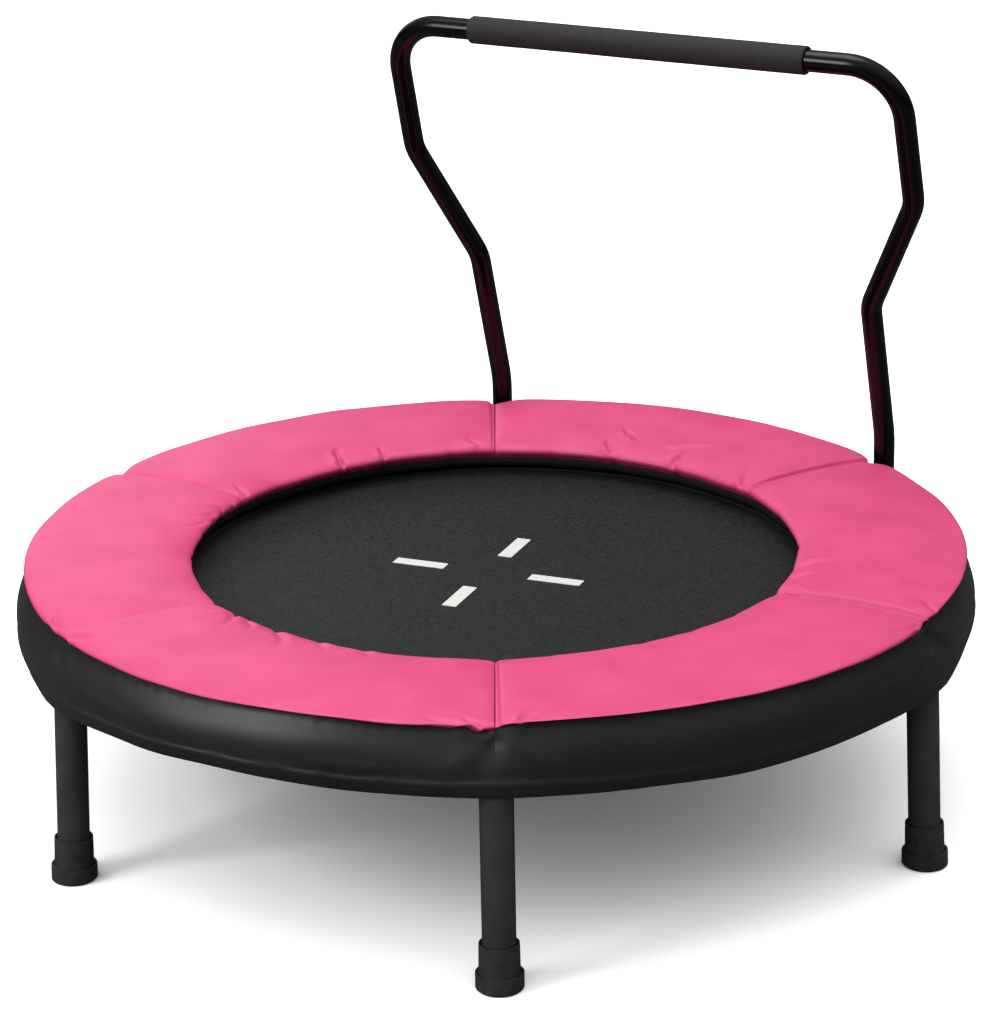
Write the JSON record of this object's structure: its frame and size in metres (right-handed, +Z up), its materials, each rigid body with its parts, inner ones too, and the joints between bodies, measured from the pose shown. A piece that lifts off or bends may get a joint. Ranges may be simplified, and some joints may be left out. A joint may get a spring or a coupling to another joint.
{
  "type": "mini trampoline",
  "caption": "Round fitness trampoline with a sprung jump mat, a padded edge with a hanging skirt, screw-on legs with rubber feet and a foam-gripped hand rail.",
  "frame": {"origin": "on the floor, under the middle of the round frame", "axes": "+Z up, +X along the hand rail, +Y from the mat's middle towards the side that carries the hand rail"},
  "size_m": [0.96, 0.939, 0.6936],
  "materials": {
    "frame_paint": "gloss",
    "leg_paint": "satin",
    "rail_paint": "gloss",
    "zinc_steel": "satin",
    "foot_rubber": "matte",
    "grip_foam": "matte",
    "mat_weave": "matte",
    "webbing": "matte",
    "pad_vinyl": "satin",
    "pad_foam": "matte",
    "pad_backing": "matte",
    "elastic": "matte",
    "skirt_vinyl": "satin"
  },
  "bodies": {
    "frame": {"frame_arc_1": "frame_paint", "frame_arc_2": "frame_paint", "frame_arc_3": "frame_paint", "frame_arc_4": "frame_paint", "frame_arc_5": "frame_paint", "frame_arc_6": "frame_paint", "frame_sleeves": "frame_paint", "frame_screws": "zinc_steel", "leg_bosses": "frame_paint", "leg_studs": "zinc_steel", "rail_socket_left": "frame_paint", "rail_socket_right": "frame_paint", "rail_clamp_screws": "zinc_steel", "springs": "zinc_steel", "pad_panel_1": "pad_vinyl", "pad_panel_2": "pad_vinyl", "pad_panel_3": "pad_vinyl", "pad_panel_4": "pad_vinyl", "pad_panel_5": "pad_vinyl", "pad_panel_6": "pad_vinyl", "pad_foam": "pad_foam", "pad_base": "pad_backing", "pad_straps": "elastic", "skirt_1": "skirt_vinyl", "skirt_2": "skirt_vinyl", "skirt_3": "skirt_vinyl", "skirt_4": "skirt_vinyl", "skirt_5": "skirt_vinyl", "skirt_6": "skirt_vinyl", "hem_elastic": "elastic"},
    "mat": {"jump_mat": "mat_weave", "mat_webbing": "webbing", "mat_tabs": "webbing", "mat_links": "zinc_steel"},
    "rail": {"handrail_left": "rail_paint", "handrail_right": "rail_paint", "handrail_sleeve": "zinc_steel", "handrail_screws": "zinc_steel", "foam_grip": "grip_foam"},
    "leg_1": {"leg_1_tube": "leg_paint", "leg_1_insert": "zinc_steel", "leg_1_foot": "foot_rubber"},
    "leg_2": {"leg_2_tube": "leg_paint", "leg_2_insert": "zinc_steel", "leg_2_foot": "foot_rubber"},
    "leg_3": {"leg_3_tube": "leg_paint", "leg_3_insert": "zinc_steel", "leg_3_foot": "foot_rubber"},
    "leg_4": {"leg_4_tube": "leg_paint", "leg_4_insert": "zinc_steel", "leg_4_foot": "foot_rubber"},
    "leg_5": {"leg_5_tube": "leg_paint", "leg_5_insert": "zinc_steel", "leg_5_foot": "foot_rubber"},
    "leg_6": {"leg_6_tube": "leg_paint", "leg_6_insert": "zinc_steel", "leg_6_foot": "foot_rubber"}
  },
  "joints": [
    {"name": "mat_bounce", "type": "slide", "parent": "frame", "child": "mat", "axis": [0, 0, -1], "range_m": [0, 0.08], "stiffness_N_per_m": 6000, "deforming": ["springs"]},
    {"name": "rail_lift", "type": "slide", "parent": "frame", "child": "rail", "axis": [0, 0, 1], "range_m": [0, 0.034]},
    {"name": "leg_1_screw", "type": "hinge", "parent": "frame", "child": "leg_1", "pos_m": [0.45, 0, 0.205], "axis": [0.0419, 0, -0.9991], "continuous": true},
    {"name": "leg_2_screw", "type": "hinge", "parent": "frame", "child": "leg_2", "pos_m": [0.225, 0.38971, 0.205], "axis": [0.0209, 0.0363, -0.9991], "continuous": true},
    {"name": "leg_3_screw", "type": "hinge", "parent": "frame", "child": "leg_3", "pos_m": [-0.225, 0.38971, 0.205], "axis": [-0.0209, 0.0363, -0.9991], "continuous": true},
    {"name": "leg_4_screw", "type": "hinge", "parent": "frame", "child": "leg_4", "pos_m": [-0.45, 0, 0.205], "axis": [-0.0419, 0, -0.9991], "continuous": true},
    {"name": "leg_5_screw", "type": "hinge", "parent": "frame", "child": "leg_5", "pos_m": [-0.225, -0.38971, 0.205], "axis": [-0.0209, -0.0363, -0.9991], "continuous": true},
    {"name": "leg_6_screw", "type": "hinge", "parent": "frame", "child": "leg_6", "pos_m": [0.225, -0.38971, 0.205], "axis": [0.0209, -0.0363, -0.9991], "continuous": true}
  ]
}
